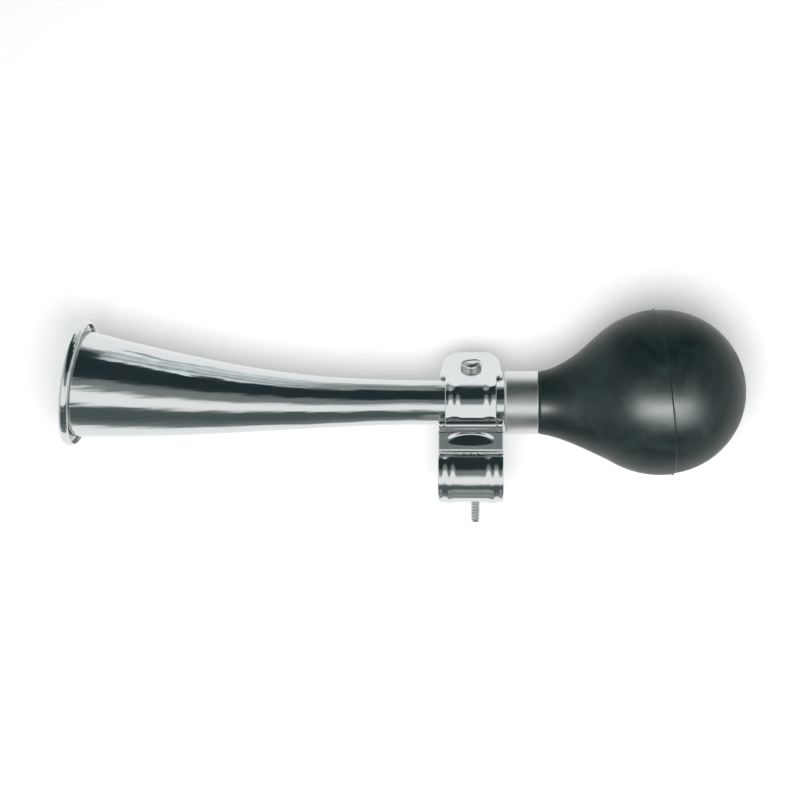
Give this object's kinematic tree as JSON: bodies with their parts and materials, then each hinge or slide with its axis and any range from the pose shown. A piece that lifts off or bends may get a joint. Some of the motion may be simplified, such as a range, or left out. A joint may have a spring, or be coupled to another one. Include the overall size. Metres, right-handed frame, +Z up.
{
  "type": "bicycle horn",
  "caption": "Curved chromed bicycle horn with a flared bell, a black rubber squeeze bulb and a hinged strap clamp for the handlebar.",
  "frame": {"origin": "centre of the handlebar bore, midway along the clamp", "axes": "+X along the handlebar bore and the horn, towards the bulb; +Y towards the clamp's screwed ears; +Z up from the handlebar to the horn"},
  "size_m": [0.2856, 0.0692, 0.09],
  "materials": {
    "horn_chrome": "bright chrome plate on brass",
    "strap_chrome": "chrome plate on steel strap",
    "zinc": "dull zinc plate",
    "satin_nickel": "satin nickel plate",
    "rubber": "moulded black rubber, soft sheen",
    "brass": "plain turned brass"
  },
  "bodies": {
    "clamp": {"front_strap": "strap_chrome", "back_strap": "strap_chrome", "saddle_cap": "strap_chrome", "cap_hinge_pin": "zinc", "cap_nut": "zinc", "bar_nut": "zinc"},
    "horn": {"horn_bell": "horn_chrome", "ferrule": "satin_nickel", "neck_gasket": "rubber", "reed_block": "brass", "reed_clip": "brass", "bulb_front": "rubber"},
    "bulb_cap": {"bulb_rear": "rubber"},
    "reed": {"reed_tongue": "brass"},
    "cap_screw": {"cap_screw": "zinc"},
    "cap_screw_washer": {"cap_screw_washer": "zinc"},
    "bar_screw": {"bar_screw": "zinc"},
    "bar_screw_washer": {"bar_screw_washer": "zinc"}
  },
  "joints": [
    {"name": "horn_turn", "type": "hinge", "parent": "clamp", "child": "horn", "pos_m": [0, 0, 0.02975], "axis": [1, 0, 0], "range_deg": [-60, 60]},
    {"name": "bulb_squeeze", "type": "slide", "parent": "horn", "child": "bulb_cap", "axis": [-0.9934, 0, -0.1149], "range_m": [0, 0.015], "stiffness_N_per_m": 400, "deforming": ["bulb_front"]},
    {"name": "reed_flex", "type": "hinge", "parent": "horn", "child": "reed", "pos_m": [0.0306, 0, 0.03285], "axis": [0, 1, 0], "range_deg": [0, 3], "stiffness_Nm_per_rad": 0.01},
    {"name": "cap_screw_turn", "type": "hinge", "parent": "cap_screw_washer", "child": "cap_screw", "pos_m": [0, 0.01148, 0.03585], "axis": [0, -0.4695, 0.8829], "range_deg": [0, 720]},
    {"name": "cap_screw_rise", "type": "slide", "parent": "clamp", "child": "cap_screw_washer", "axis": [0, -0.4695, 0.8829], "range_m": [0, 0.0026]},
    {"name": "bar_screw_turn", "type": "hinge", "parent": "bar_screw_washer", "child": "bar_screw", "pos_m": [0.0017, 0.017, 0], "axis": [0, 0, 1], "range_deg": [0, 720]},
    {"name": "bar_screw_rise", "type": "slide", "parent": "clamp", "child": "bar_screw_washer", "axis": [0, 0, 1], "range_m": [0, 0.0026]}
  ],
  "couplings": [
    {"joint": "cap_screw_turn", "follows": "cap_screw_rise", "rad_per_m": 4833},
    {"joint": "bar_screw_turn", "follows": "bar_screw_rise", "rad_per_m": 4833}
  ]
}
